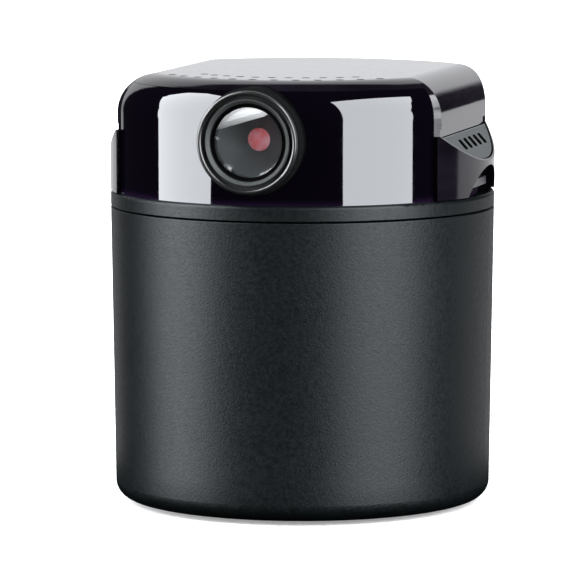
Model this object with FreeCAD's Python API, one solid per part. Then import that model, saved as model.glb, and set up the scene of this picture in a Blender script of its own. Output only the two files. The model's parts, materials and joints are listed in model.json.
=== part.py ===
import FreeCAD, Part
import math
import os

# Dash camera: a round battery base with a camera head that turns on it.
# Millimetres. +Z is up, the origin is the centre of the foot pad's underside,
# and the lens looks along -Y.

# ---- driving dimensions -------------------------------------------------
DIAMETER = 50.0             # across the collar ring
COLLAR_TOP_Z = 40.8         # top of the collar ring above the table
COLLAR_H = 1.95             # visible height of the collar ring
GROOVE_H = 0.18             # open groove under the collar, where the head turns
HEAD_H = 15.5               # head above the collar ring
LENS_Z_OVER_COLLAR = 8.1    # lens axis above the collar ring
LENS_RIM_R = 6.52           # outer radius of the lens bezel
LENS_PROUD = 2.5            # how far the bezel stands out of the window
WALL = 1.5                  # moulded wall thickness
GAP = 0.05                  # assembly gap between fixed pieces
RUN = 0.08                  # radial running clearance of the neck in its bore

# ---- base ---------------------------------------------------------------
R = DIAMETER / 2
SHELL_BOTTOM_R = 0.977 * R
SHELL_INNER_R = R - 1.4 * WALL
SHELL_EDGE_R = 2.2
PAD_PROUD = 0.5
PAD_RECESS = 0.4
PAD_R = 19.0
SHELL_TOP_Z = COLLAR_TOP_Z - COLLAR_H - GROOVE_H
FLOOR_TOP_Z = PAD_PROUD + 2.0
DECK_TOP_Z = SHELL_TOP_Z - 1.6
DECK_H = 2.0
BOSS_RING_R = 19.6
BOSS_ANGLES = (60, 120, 270)

# ---- swivel -------------------------------------------------------------
NECK_BORE_R = 9.0
NECK_R = NECK_BORE_R - RUN
NECK_HOLLOW_R = 6.5
NECK_BOTTOM_Z = 32.0
GLIDE_INNER_R = 12.0
GLIDE_OUTER_R = 19.8
GLIDE_H = 0.8
STOP_INNER_R = 20.3
STOP_OUTER_R = 21.5
STOP_HALF_ANGLE = 5.0

# ---- head ---------------------------------------------------------------
TOP_Z = COLLAR_TOP_Z + HEAD_H
HEAD_R = 0.976 * R          # front window
COVER_R = R + 0.05          # sides and rear of the cover, flush with the collar
FLAT_X = 0.86 * R           # flat cheeks
BROW_ROUND = 5.0            # round edge from the front wall and the cheeks to the roof
REAR_ROUND = 1.3            # round rear edge of the roof
WINDOW_HALF_ANGLE = 58.2    # degrees that the window spans to each side of the lens
BEVEL_ANGLE = 49.8          # degrees that the bevel beside the window faces off the lens axis
SEAM_ANGLE = 50.0           # degrees up the brow's round at which the window ends
REAR_CORNER_X = 0.75        # narrow upright cuts between the cheeks and the rear wall
REAR_CORNER_Y = 1.3
FACET_TOP_Z = COLLAR_TOP_Z + 8.25
FACET_LOW_Z = COLLAR_TOP_Z + 4.3
LEDGE_DEPTH = 0.6           # the window and cover stand this deep in the collar
WINDOW_R_IN = HEAD_R - WALL
ROOF_UNDER_Z = TOP_Z - WALL
BROW_RING_R = HEAD_R - BROW_ROUND
BROW_RING_Z = TOP_Z - BROW_ROUND
ARCH_HALF_W = 7.3
ARCH_H = 3.7

# ---- lens, from the rim inwards ------------------------------------------
LENS_Z = COLLAR_TOP_Z + LENS_Z_OVER_COLLAR
RIM_Y = -(HEAD_R + LENS_PROUD)
BEAD_R = LENS_RIM_R + 0.31
BEZEL_BORE_R = 5.55
TRIM_R = 5.48
TRIM_INNER_R = 4.9
GLASS_R = 4.4
GLASS_DEPTH = 1.0
PUPIL_R = 1.42
BEZEL_END_Y = RIM_Y + 6.0

# ---- electronics ----------------------------------------------------------
CHASSIS_FLOOR_Z = 38.6
CHASSIS_FLOOR_H = 1.2
CHASSIS_R = 21.8
BOARD_Z = 40.3
BOARD_H = 0.8
BOARD_TOP_Z = BOARD_Z + BOARD_H
COVER_BOSS_Z = BOARD_TOP_Z + 0.1
BOARD_R = 20.3
BOARD_FRONT_Y = -8.0
SENSOR_BOARD_Y = -9.0
CARD = (15.0, 11.0, 1.0)    # memory card: length, width, thickness
CARD_OUT_X = 23.4           # outer end of the seated card
BUTTON_Z = COLLAR_TOP_Z + 6.4
BUTTON_R = 2.2
BUTTON_PROUD = 0.2

Z_AXIS = FreeCAD.Vector(0, 0, 1)
Y_AXIS = FreeCAD.Vector(0, 1, 0)
X_AXIS = FreeCAD.Vector(1, 0, 0)
FAR = 40.0                  # longer than anything that is cut


def vec(x, y, z):
    return FreeCAD.Vector(x, y, z)


def polar(radius, degrees):
    """X and Y of a point at an angle from +X."""
    angle = math.radians(degrees)
    return radius * math.cos(angle), radius * math.sin(angle)


def cylinder(radius, z0, z1, x=0.0, y=0.0):
    return Part.makeCylinder(radius, z1 - z0, vec(x, y, z0), Z_AXIS)


def tube(r_out, r_in, z0, z1, x=0.0, y=0.0):
    margin = 1.0
    return cylinder(r_out, z0, z1, x, y).cut(cylinder(r_in, z0 - margin, z1 + margin, x, y))


def block(x0, x1, y0, y1, z0, z1):
    return Part.makeBox(x1 - x0, y1 - y0, z1 - z0, vec(x0, y0, z0))


def centred_block(cx, cy, z0, length, width, height):
    return block(cx - length / 2, cx + length / 2, cy - width / 2, cy + width / 2, z0, z0 + height)


def lens_cylinder(radius, y0, y1, x=0.0, z=LENS_Z):
    """A cylinder along Y, by default on the lens axis."""
    return Part.makeCylinder(radius, y1 - y0, vec(x, y0, z), Y_AXIS)


def lens_tube(r_out, r_in, y0, y1, x=0.0, z=LENS_Z):
    margin = 1.0
    return lens_cylinder(r_out, y0, y1, x, z).cut(lens_cylinder(r_in, y0 - margin, y1 + margin, x, z))


def turned(points, origin, axis, start_side):
    """A solid of revolution. Each point is (radius, distance along the axis)."""
    placed = [origin + start_side * radius + axis * along for radius, along in points]
    face = Part.Face(Part.makePolygon(placed + [placed[0]]))
    return face.revolve(origin, axis, 360)


def turned_about_z(points):
    return turned(points, vec(0, 0, 0), Z_AXIS, X_AXIS)


def turned_about_lens(points):
    """Distances run back along +Y from the bezel's rim plane."""
    return turned(points, vec(0, RIM_Y, LENS_Z), Y_AXIS, X_AXIS)


def outline_prism(edges, direction):
    return Part.Face(Part.Wire(edges)).extrude(direction)


def line(a, b):
    return Part.makeLine(a, b)


def corner_arc(start, middle, end):
    return Part.Arc(start, middle, end).toShape()


def joined(shapes):
    return shapes[0].fuse(shapes[1:]).removeSplitter()


def drilled(shape, tools):
    return shape.cut(Part.makeCompound(tools))


def ring_places(radius, angles):
    return [polar(radius, angle) for angle in angles]


def round_edges_at_z(shape, z, radius):
    edges = [e for e in shape.Edges if abs(e.BoundBox.ZMin - z) < 1e-4 and abs(e.BoundBox.ZMax - z) < 1e-4]
    return shape.makeFillet(radius, edges)


def pan_screw(x, y, head_z, length, head_r=1.5, shank_r=0.75, head_h=0.9):
    """An upright pan-head screw whose head rests on head_z and points up."""
    head = cylinder(head_r, head_z, head_z + head_h, x, y)
    head = round_edges_at_z(head, head_z + head_h, 0.35)
    shank = cylinder(shank_r, head_z - length, head_z, x, y)
    cross = joined([centred_block(x, y, head_z + 0.45, 1.5, 0.35, 1.0),
                    centred_block(x, y, head_z + 0.45, 0.35, 1.5, 1.0)])
    return joined([head, shank]).cut(cross)


# ---- base pieces ----------------------------------------------------------
def foot_pad():
    pad = cylinder(PAD_R - GAP, 0, PAD_PROUD + PAD_RECESS)
    pad = round_edges_at_z(pad, 0, 0.2)
    grip_rings = [tube(r + 0.4, r - 0.4, -1, 0.25) for r in (6.0, 10.0, 14.0)]
    return drilled(pad, grip_rings)


def body_shell():
    """Tapered cup: its radius grows slightly from the table to the groove."""
    bottom_z = PAD_PROUD
    outer = turned_about_z([(0, bottom_z), (SHELL_BOTTOM_R, bottom_z), (R, SHELL_TOP_Z), (0, SHELL_TOP_Z)])
    outer = round_edges_at_z(outer, bottom_z, SHELL_EDGE_R)
    outer = round_edges_at_z(outer, SHELL_TOP_Z, 0.12)
    inside = cylinder(SHELL_INNER_R, FLOOR_TOP_Z, FAR + R)
    shell = outer.cut(inside)
    boss_top = DECK_TOP_Z - DECK_H
    bosses = [cylinder(2.6, FLOOR_TOP_Z, boss_top, x, y) for x, y in ring_places(BOSS_RING_R, BOSS_ANGLES)]
    ribs = [block(-0.6, 0.6, BOSS_RING_R + 2, SHELL_INNER_R + 0.4, FLOOR_TOP_Z, boss_top)
            .rotate(vec(0, 0, 0), Z_AXIS, angle - 90) for angle in BOSS_ANGLES]
    magnet_wall = tube(13.4, 12.4, FLOOR_TOP_Z, FLOOR_TOP_Z + 1.4)
    shell = joined([shell, magnet_wall] + bosses + ribs)
    pilots = [cylinder(0.8, boss_top - 7, boss_top + 1, x, y)
              for x, y in ring_places(BOSS_RING_R, BOSS_ANGLES)]
    return drilled(shell, pilots + [cylinder(PAD_R, -1, PAD_PROUD + PAD_RECESS)])


def base_magnet():
    disc = cylinder(12.3, FLOOR_TOP_Z, FLOOR_TOP_Z + 2)
    return round_edges_at_z(disc, FLOOR_TOP_Z + 2, 0.3)


CRADLE_Z = FLOOR_TOP_Z + 2.1
CRADLE_H = 1.4
CELL_SIZE = (30.0, 11.2, 22.0)
CELL_Z = CRADLE_Z + CRADLE_H + GAP
CELL_OFFSET_Y = 5.9
CRADLE_SCREW_X = 18.6


def battery_cradle():
    plate = centred_block(0, 0, CRADLE_Z, 33.2, 27.6, CRADLE_H)
    ears = [cylinder(2.6, CRADLE_Z, CRADLE_Z + CRADLE_H, side * CRADLE_SCREW_X, 0) for side in (-1, 1)]
    legs = [cylinder(1.9, FLOOR_TOP_Z, CRADLE_Z + 0.2, side * CRADLE_SCREW_X, 0) for side in (-1, 1)]
    ear_webs = [centred_block(side * 16.6, 0, CRADLE_Z, 4.0, 5.2, CRADLE_H) for side in (-1, 1)]
    posts = []
    for side_x in (-1, 1):
        for side_y in (-1, 1):
            post = centred_block(side_x * 13.6, side_y * 11.8, CRADLE_Z, 6.0, 4.0, 13.0)
            pocket = centred_block(0, 0, CELL_Z - GAP, 2 * 15.1, 2 * 11.7, FAR)
            posts.append(post.cut(pocket))
    cradle = joined([plate] + ears + legs + ear_webs + posts)
    holes = [cylinder(1.0, FLOOR_TOP_Z - 1, FAR, side * CRADLE_SCREW_X, 0) for side in (-1, 1)]
    window = centred_block(0, 0, CRADLE_Z - 1, 16, 10, 4)
    return drilled(cradle, holes + [window])


def cradle_screws():
    length = CRADLE_Z + CRADLE_H - FLOOR_TOP_Z
    return Part.makeCompound([pan_screw(side * CRADLE_SCREW_X, 0, CRADLE_Z + CRADLE_H, length)
                              for side in (-1, 1)])


def battery_cell(side):
    """A soft-pouch lithium cell, with a rounded edge all the way round."""
    length, width, height = CELL_SIZE
    cell = centred_block(0, side * CELL_OFFSET_Y, CELL_Z, length, width, height)
    upright = [e for e in cell.Edges if e.BoundBox.ZLength > height / 2]
    cell = cell.makeFillet(2.5, upright)
    return round_edges_at_z(cell, CELL_Z + height, 0.8)


def battery_foam():
    z = CELL_Z + CELL_SIZE[2]
    return centred_block(0, 0, z, 22.0, 20.0, 1.0)


BATTERY_BOARD_Z = CELL_Z + CELL_SIZE[2] + 1.0


def battery_board():
    board = centred_block(0, 0, BATTERY_BOARD_Z, 26.0, 12.0, 0.8)
    chips = [centred_block(x, y, BATTERY_BOARD_Z + 0.8, 3.0, 2.4, 0.7)
             for x, y in ((-8, 2.5), (-8, -2.5), (8, 0))]
    return joined([board] + chips)


def battery_plug():
    """Lead connector on the battery board, with the socket for the lead."""
    z = BATTERY_BOARD_Z + 0.8
    body = centred_block(0, 0, z, 5.0, 3.6, 2.0)
    return body.makeChamfer(0.3, [e for e in body.Edges if e.BoundBox.ZMin > z + 1])


def swivel_deck():
    """Fixed deck under the head, with the bore that the head's neck turns in."""
    deck = cylinder(SHELL_INNER_R - 0.2, DECK_TOP_Z - DECK_H, DECK_TOP_Z)
    hub = cylinder(NECK_BORE_R + 1.6, DECK_TOP_Z - DECK_H - 0.6, DECK_TOP_Z)
    stop = sector(STOP_OUTER_R, STOP_INNER_R, DECK_TOP_Z - 0.2, DECK_TOP_Z + 1.1, 90, STOP_HALF_ANGLE)
    deck = joined([deck, hub, stop])
    holes = [cylinder(1.0, 0, FAR, x, y) for x, y in ring_places(BOSS_RING_R, BOSS_ANGLES)]
    recesses = [cylinder(1.9, DECK_TOP_Z - 1.1, FAR, x, y) for x, y in ring_places(BOSS_RING_R, BOSS_ANGLES)]
    return drilled(deck, holes + recesses + [cylinder(NECK_BORE_R, 0, FAR + R)])


def sector(r_out, r_in, z0, z1, middle_degrees, half_angle):
    """A piece of a ring, centred on an angle from +X."""
    arc = Part.makeCylinder(r_out, z1 - z0, vec(0, 0, z0), Z_AXIS, 2 * half_angle)
    arc = arc.cut(cylinder(r_in, z0 - 1, z1 + 1))
    return arc.rotate(vec(0, 0, 0), Z_AXIS, middle_degrees - half_angle)


def deck_screws():
    seat = DECK_TOP_Z - 1.1
    return Part.makeCompound([pan_screw(x, y, seat, 6.0) for x, y in ring_places(BOSS_RING_R, BOSS_ANGLES)])


def glide_ring():
    ring = tube(GLIDE_OUTER_R, GLIDE_INNER_R, DECK_TOP_Z, DECK_TOP_Z + GLIDE_H)
    cuts = [cylinder(2.2, 0, FAR + R, x, y) for x, y in ring_places(BOSS_RING_R, BOSS_ANGLES)]
    return drilled(ring, cuts)


# ---- turning head: frame ----------------------------------------------------
COVER_BOSS_ANGLES = (50, 130, 215, 325)
COVER_BOSS_R = 18.6
BOARD_POST_PLACES = ((-16.0, 8.2), (16.0, 8.2), (0.0, 17.0))
CLIP_Z = DECK_TOP_Z - DECK_H - 2.0
CLIP_H = 0.8
CLIP_GROOVE_R = 8.2


def head_chassis():
    floor_top = CHASSIS_FLOOR_Z + CHASSIS_FLOOR_H
    floor = cylinder(CHASSIS_R, CHASSIS_FLOOR_Z, floor_top)
    rider = tube(18.6, 13.2, DECK_TOP_Z + GLIDE_H + 0.1, CHASSIS_FLOOR_Z + 0.2)
    neck = cylinder(NECK_R, NECK_BOTTOM_Z, CHASSIS_FLOOR_Z + 0.2)
    peg = sector(STOP_OUTER_R, STOP_INNER_R, DECK_TOP_Z + 0.3, CHASSIS_FLOOR_Z + 0.2, 270, STOP_HALF_ANGLE)
    posts = [cylinder(1.8, floor_top - 0.2, BOARD_Z, x, y) for x, y in BOARD_POST_PLACES]
    lens_rest = centred_block(0, SENSOR_BOARD_Y - 4.0, floor_top - 0.2, 12.0, 4.0, 1.3)
    chassis = joined([floor, rider, neck, peg, lens_rest] + posts)
    groove = tube(NECK_R + 1, CLIP_GROOVE_R, CLIP_Z - GAP, CLIP_Z + CLIP_H + GAP)
    hollow = cylinder(NECK_HOLLOW_R, 0, FAR + R)
    pilots = [cylinder(0.8, floor_top - 0.9, FAR + R, x, y) for x, y in BOARD_POST_PLACES]
    screw_holes = [cylinder(1.0, 0, FAR + R, x, y) for x, y in ring_places(COVER_BOSS_R, COVER_BOSS_ANGLES)]
    head_sinks = [cylinder(1.9, 0, CHASSIS_FLOOR_Z + 0.1, x, y)
                  for x, y in ring_places(COVER_BOSS_R, COVER_BOSS_ANGLES)]
    return drilled(chassis, [groove, hollow] + pilots + screw_holes + head_sinks)


def neck_clip_ring():
    """Spring clip in the neck's groove, open at one side so that it can be pushed on."""
    ring = tube(NECK_BORE_R + 2.6, CLIP_GROOVE_R + GAP, CLIP_Z, CLIP_Z + CLIP_H)
    mouth = centred_block(0, NECK_BORE_R + 1, CLIP_Z - 1, 9.0, 9.0, 4.0)
    return ring.cut(mouth)


def wave_washer():
    """Flattened spring washer between the clip and the underside of the deck's hub."""
    z0 = CLIP_Z + CLIP_H + GAP
    return tube(NECK_BORE_R + 1.4, NECK_BORE_R + 0.1, z0, z0 + 0.4)


def collar_ring():
    bottom = COLLAR_TOP_Z - COLLAR_H
    ledge = COLLAR_TOP_Z - LEDGE_DEPTH
    inner = CHASSIS_R + GAP
    skirt_r = SHELL_INNER_R - 0.3
    ring = turned_about_z([(inner, bottom - 1.0), (skirt_r, bottom - 1.0), (skirt_r, bottom), (R, bottom),
                           (R, COLLAR_TOP_Z), (HEAD_R + GAP, COLLAR_TOP_Z), (HEAD_R + GAP, ledge),
                           (inner, ledge)])
    outer_top = [e for e in ring.Edges
                 if abs(e.BoundBox.ZMin - COLLAR_TOP_Z) < 1e-4 and e.BoundBox.XMax > R - 1e-3]
    ring = ring.makeFillet(0.45, outer_top)
    outer_bottom = [e for e in ring.Edges
                    if abs(e.BoundBox.ZMax - bottom) < 1e-4 and e.BoundBox.XMax > R - 1e-3]
    return ring.makeFillet(0.1, outer_bottom)


# ---- turning head: shell ----------------------------------------------------
FACET_SLOPE = (FACET_TOP_Z - FACET_LOW_Z) / (COVER_R - FLAT_X)
HEAD_FOOT_Z = COLLAR_TOP_Z - LEDGE_DEPTH + GAP


def cheek_profile(flat_x, top_z, round_r):
    """Front view of the head's outline: flat cheeks and a roof joined by rounds."""
    y = -FAR
    bend = round_r * (1 - math.sqrt(0.5))
    left = [line(vec(-flat_x, y, HEAD_FOOT_Z), vec(-flat_x, y, top_z - round_r)),
            corner_arc(vec(-flat_x, y, top_z - round_r), vec(-flat_x + bend, y, top_z - bend),
                       vec(-flat_x + round_r, y, top_z))]
    right = [corner_arc(vec(flat_x - round_r, y, top_z), vec(flat_x - bend, y, top_z - bend),
                        vec(flat_x, y, top_z - round_r)),
             line(vec(flat_x, y, top_z - round_r), vec(flat_x, y, HEAD_FOOT_Z))]
    roof = line(vec(-flat_x + round_r, y, top_z), vec(flat_x - round_r, y, top_z))
    foot = line(vec(flat_x, y, HEAD_FOOT_Z), vec(-flat_x, y, HEAD_FOOT_Z))
    return outline_prism(left + [roof] + right + [foot], Y_AXIS * 2 * FAR)


def facet_prism(shift, top_z=FACET_TOP_Z):
    """Everything below top_z and the two sloping facet planes, moved inwards by shift."""
    y = -FAR
    reach = COVER_R + 1
    drop = shift * math.sqrt(1 + FACET_SLOPE ** 2)

    def facet_z(x):
        return FACET_TOP_Z - (x - FLAT_X) * FACET_SLOPE - drop

    shoulder = FLAT_X - (top_z + drop - FACET_TOP_Z) / FACET_SLOPE
    corners = [vec(-reach, y, HEAD_FOOT_Z), vec(-reach, y, facet_z(reach)), vec(-shoulder, y, top_z),
               vec(shoulder, y, top_z), vec(reach, y, facet_z(reach)), vec(reach, y, HEAD_FOOT_Z)]
    return Part.Face(Part.makePolygon(corners + [corners[0]])).extrude(Y_AXIS * 2 * FAR)


def rear_corner_wedges():
    """The upright strips cut off where the cheeks meet the rear wall."""
    slope = REAR_CORNER_X / REAR_CORNER_Y
    reach = 3.0
    edge_x = FLAT_X - REAR_CORNER_X
    edge_y = math.sqrt(COVER_R ** 2 - edge_x ** 2)
    start = (edge_x - slope * reach, edge_y + reach)
    end = (FLAT_X + slope * reach, edge_y - REAR_CORNER_Y - reach)
    outside = (FLAT_X + reach, edge_y + reach)
    wedges = []
    for side in (-1, 1):
        corners = [vec(side * x, y, HEAD_FOOT_Z - 1) for x, y in (start, end, outside)]
        wedges.append(Part.Face(Part.makePolygon(corners + [corners[0]])).extrude(Z_AXIS * FAR))
    return wedges


def rounded_drum(radius, foot_z, top_z, lip):
    drum = cylinder(radius, foot_z, top_z)
    return round_edges_at_z(drum, top_z, lip)


def rear_half():
    return block(-FAR, FAR, 0, FAR, 0, FAR + R)


def front_wedge(half_angle):
    """Everything within half_angle degrees of the lens direction, seen from above."""
    wedge = Part.makeCylinder(FAR, FAR + R, vec(0, 0, 0), Z_AXIS, 2 * half_angle)
    return wedge.rotate(vec(0, 0, 0), Z_AXIS, 270 - half_angle)


def bevelled_corners():
    """The cover's bevelled front corners beside the window, which bend back with the brow."""
    beyond = WINDOW_HALF_ANGLE + 8
    reach = HEAD_R * math.cos(math.radians(WINDOW_HALF_ANGLE - BEVEL_ANGLE))
    ring = rounded_drum(COVER_R, COLLAR_TOP_Z + GAP, TOP_Z, BROW_ROUND + COVER_R - HEAD_R)
    ring = ring.common(front_wedge(beyond)).cut(front_wedge(WINDOW_HALF_ANGLE))
    corners = []
    for side in (-1, 1):
        bar = cheek_profile(reach, TOP_Z, BROW_ROUND).rotate(vec(0, 0, 0), Z_AXIS, side * (BEVEL_ANGLE - 90))
        own_side = block(*sorted((0, side * FAR)), -FAR, 0, 0, FAR + R)
        corners.append(ring.common(bar).common(own_side))
    return corners


def head_envelope():
    """Outer form: a drum with a round brow and flat cheeks, on a slightly wider foot."""
    front = rounded_drum(HEAD_R, HEAD_FOOT_Z, TOP_Z, BROW_ROUND)
    rear = rounded_drum(COVER_R, COLLAR_TOP_Z + GAP, TOP_Z, REAR_ROUND).common(rear_half())
    upper = joined([front, rear] + bevelled_corners()).common(cheek_profile(FLAT_X, TOP_Z, BROW_ROUND))
    upper = drilled(upper, rear_corner_wedges())
    wide_foot = cylinder(COVER_R, COLLAR_TOP_Z + GAP, TOP_Z).cut(front_wedge(WINDOW_HALF_ANGLE))
    lower = cylinder(HEAD_R, HEAD_FOOT_Z, TOP_Z).fuse(wide_foot).common(facet_prism(0))
    return joined([upper, lower])


def head_cavity():
    inner_round = BROW_ROUND - WALL
    front = rounded_drum(WINDOW_R_IN, HEAD_FOOT_Z - 1, ROOF_UNDER_Z, inner_round)
    rear = cylinder(WINDOW_R_IN, HEAD_FOOT_Z - 1, ROOF_UNDER_Z).common(rear_half())
    upper = joined([front, rear]).common(cheek_profile(FLAT_X - WALL, ROOF_UNDER_Z, inner_round))
    lower = cylinder(WINDOW_R_IN, HEAD_FOOT_Z, TOP_Z).common(facet_prism(WALL + 0.3, FACET_TOP_Z - 1.0))
    foot = cylinder(WINDOW_R_IN, HEAD_FOOT_Z - 1, HEAD_FOOT_Z + 1)
    return joined([upper, lower, foot])


def window_zone(inset):
    """The front of the head up to the seam on the brow, which is square to the brow's surface."""
    foot_z = HEAD_FOOT_Z - 1
    ring_z = BROW_RING_Z - inset / math.cos(math.radians(SEAM_ANGLE))
    seam_z = ring_z + (FAR - BROW_RING_R) * math.tan(math.radians(SEAM_ANGLE))
    below_seam = turned_about_z([(0, foot_z), (FAR, foot_z), (FAR, seam_z), (BROW_RING_R, ring_z),
                                 (0, ring_z)])
    return below_seam.common(front_wedge(WINDOW_HALF_ANGLE - math.degrees(inset / HEAD_R)))


def arch_prism(side, grow, x0, x1):
    """Arch-topped port opening in the pod, cut along X."""
    half = ARCH_HALF_W + grow
    foot = COLLAR_TOP_Z - 1
    start = vec(side * x0, -half, COLLAR_TOP_Z)
    top = vec(side * x0, 0, COLLAR_TOP_Z + ARCH_H + grow)
    end = vec(side * x0, half, COLLAR_TOP_Z)
    edges = [corner_arc(start, top, end), line(end, vec(side * x0, half, foot)),
             line(vec(side * x0, half, foot), vec(side * x0, -half, foot)),
             line(vec(side * x0, -half, foot), start)]
    return outline_prism(edges, X_AXIS * side * (x1 - x0))


LEAF_TOP_X = FLAT_X + 0.08
LEAF_R = COVER_R - 0.45
PANEL_T = 0.9


def leaf_slab(side, grow, top_shift, thickness):
    """The leaf-shaped vent panel's outline, between two planes parallel to the facet."""
    barrel = cylinder(LEAF_R + grow, FACET_LOW_Z - 5, FACET_TOP_Z + 5)
    inner = side * (LEAF_TOP_X - grow)
    keep = block(min(inner, side * FAR), max(inner, side * FAR), -FAR, FAR, 0, FAR + R)
    high = facet_prism(top_shift, FACET_TOP_Z + 1)
    low = facet_prism(top_shift + thickness, FACET_TOP_Z + 1)
    return barrel.common(keep).common(high.cut(low))


VENT_COUNT = 5
VENT_PITCH = 2.65
VENT_W = 1.5
VENT_L = 1.7


def vent_cuts(side):
    """A row of short slots that run down the facet."""
    slope_len = math.sqrt(1 + FACET_SLOPE ** 2)
    centre_down = 2.0
    cx = FLAT_X + centre_down / slope_len
    cz = FACET_TOP_Z - (cx - FLAT_X) * FACET_SLOPE
    tilt = math.degrees(math.atan(FACET_SLOPE))
    cuts = []
    for index in range(VENT_COUNT):
        y = (index - (VENT_COUNT - 1) / 2) * VENT_PITCH
        slot = Part.makeBox(VENT_L, VENT_W, 6, vec(-VENT_L / 2, y - VENT_W / 2, -3))
        slot = slot.makeFillet(0.35, [e for e in slot.Edges if e.BoundBox.ZLength > 5])
        slot = slot.rotate(vec(0, 0, 0), Y_AXIS, tilt)
        slot = slot.translate(vec(cx, 0, cz))
        if side < 0:
            slot = slot.mirror(vec(0, 0, 0), X_AXIS)
        cuts.append(slot)
    return cuts


def vent_panel(side):
    return drilled(leaf_slab(side, 0, 0.12, PANEL_T), vent_cuts(side))


def front_window():
    """Smoked window: the front wall and the lower part of the brow, in one moulding."""
    hollow = rounded_drum(WINDOW_R_IN, 0, ROOF_UNDER_Z, BROW_ROUND - WALL)
    wall = head_envelope().cut(hollow).common(window_zone(GAP))
    return wall.cut(bezel_hole())


def bezel_hole():
    return lens_cylinder(BEAD_R + GAP, -FAR, BEZEL_END_Y + GAP)


SOUND_PITCH_DEG = 8.4
SOUND_HOLE_R = 0.55
SOUND_ROWS = ((0.76, 12), (0.60, 11))


def sound_places():
    places = []
    for share, count in SOUND_ROWS:
        for index in range(count):
            angle = -90 + (index - (count - 1) / 2) * SOUND_PITCH_DEG
            places.append(polar(share * R, angle))
    return places


def top_cover():
    cover = head_envelope().cut(head_cavity())
    window_gap = window_zone(0).cut(rounded_drum(WINDOW_R_IN, 0, ROOF_UNDER_Z, BROW_ROUND - WALL))
    cover = cover.cut(window_gap)
    bosses = [cylinder(2.4, COVER_BOSS_Z, ROOF_UNDER_Z + 0.3, x, y)
              for x, y in ring_places(COVER_BOSS_R, COVER_BOSS_ANGLES)]
    cover = joined([cover] + bosses)
    pilots = [cylinder(0.8, 0, COVER_BOSS_Z + 6, x, y)
              for x, y in ring_places(COVER_BOSS_R, COVER_BOSS_ANGLES)]
    holes = [cylinder(SOUND_HOLE_R, ROOF_UNDER_Z - 1, TOP_Z + 1, x, y) for x, y in sound_places()]
    tools = pilots + holes + [bezel_hole()]
    for side in (-1, 1):
        tools.append(leaf_slab(side, 0.24, -0.5, PANEL_T + 0.5 + 0.12 + GAP))
        tools.append(arch_prism(side, 0, WINDOW_R_IN - 2, FAR))
        tools.extend(vent_cuts(side))
    button_hole = Part.makeCylinder(BUTTON_R + 0.3, 2 * WALL + 2, vec(0, WINDOW_R_IN - 1, BUTTON_Z), Y_AXIS)
    light_hole = Part.makeCylinder(0.7, 2 * WALL + 2, vec(7.0, WINDOW_R_IN - 3, BUTTON_Z), Y_AXIS)
    return drilled(cover, tools + [button_hole, light_hole])


def cover_screws():
    """Screws up through the chassis floor into the cover's bosses."""
    screws = []
    for x, y in ring_places(COVER_BOSS_R, COVER_BOSS_ANGLES):
        screw = pan_screw(x, y, 0, 6.5, head_h=0.7).rotate(vec(x, y, 0), X_AXIS, 180)
        screws.append(screw.translate(vec(0, 0, CHASSIS_FLOOR_Z + 0.1)))
    return Part.makeCompound(screws)


# ---- turning head: ports ----------------------------------------------------
def port_frame(side, mouth):
    """Dark inner wall behind an arch, with the mouth for its socket."""
    wall = tube(WINDOW_R_IN - GAP, WINDOW_R_IN - 1.1, BOARD_TOP_Z - 0.6, COLLAR_TOP_Z + ARCH_H + 0.35)
    keep = block(*sorted((side * 10, side * FAR)), -8.4, 8.4, 0, FAR + R)
    return wall.common(keep).cut(mouth)


USB_HALF_W = 3.75
USB_H = 2.5
USB_Z = BOARD_TOP_Z
USB_MOUTH_X = -(WINDOW_R_IN - 0.4)
USB_LENGTH = 6.0


def usb_mouth(grow):
    half_width = USB_HALF_W + grow
    return block(-FAR, -WINDOW_R_IN + 4, -half_width, half_width, USB_Z - grow, USB_Z + USB_H + grow)


def usb_port_frame():
    return port_frame(-1, usb_mouth(GAP))


def usb_shell_bar(inset, x0, x1):
    half = USB_HALF_W - inset
    bar = block(x0, x1, -half, half, USB_Z + inset, USB_Z + USB_H - inset)
    lower = [e for e in bar.Edges if e.BoundBox.XLength > 1 and e.BoundBox.ZMax < USB_Z + USB_H / 2]
    return bar.makeChamfer(0.7, lower)


def usb_socket():
    back = USB_MOUTH_X + USB_LENGTH
    shell = usb_shell_bar(0, USB_MOUTH_X, back)
    return shell.cut(usb_shell_bar(0.3, USB_MOUTH_X - 1, back - 0.3))


def usb_tongue():
    back = USB_MOUTH_X + USB_LENGTH - 0.3
    z = USB_Z + USB_H / 2
    block_part = block(back - 1.2, back, -3.0, 3.0, USB_Z + 0.6 + GAP, USB_Z + USB_H - 0.35)
    tongue = block(USB_MOUTH_X + 0.6, back - 1.0, -2.4, 2.4, z, z + 0.6)
    return joined([block_part, tongue])


CARD_Z = BOARD_TOP_Z + 0.5
CARD_CLEAR = 0.12
SOCKET_END_X = 20.3


def card_port_frame():
    mouth = block(0, FAR, -CARD[1] / 2 - 0.4, CARD[1] / 2 + 0.4, CARD_Z - 0.4, CARD_Z + CARD[2] + 0.4)
    return port_frame(1, mouth)


def card_socket():
    half = CARD[1] / 2 + 0.8
    start_x = CARD_OUT_X - CARD[0] - 1.4
    shell = block(start_x, SOCKET_END_X, -half, half, BOARD_TOP_Z, CARD_Z + CARD[2] + 0.5)
    slot = block(start_x + 0.8, FAR, -CARD[1] / 2 - CARD_CLEAR, CARD[1] / 2 + CARD_CLEAR,
                 CARD_Z - CARD_CLEAR, CARD_Z + CARD[2] + CARD_CLEAR)
    spring_window = block(start_x + 4, start_x + 8, -3, 3, CARD_Z + CARD[2], FAR + R)
    return drilled(shell, [slot, spring_window])


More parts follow.
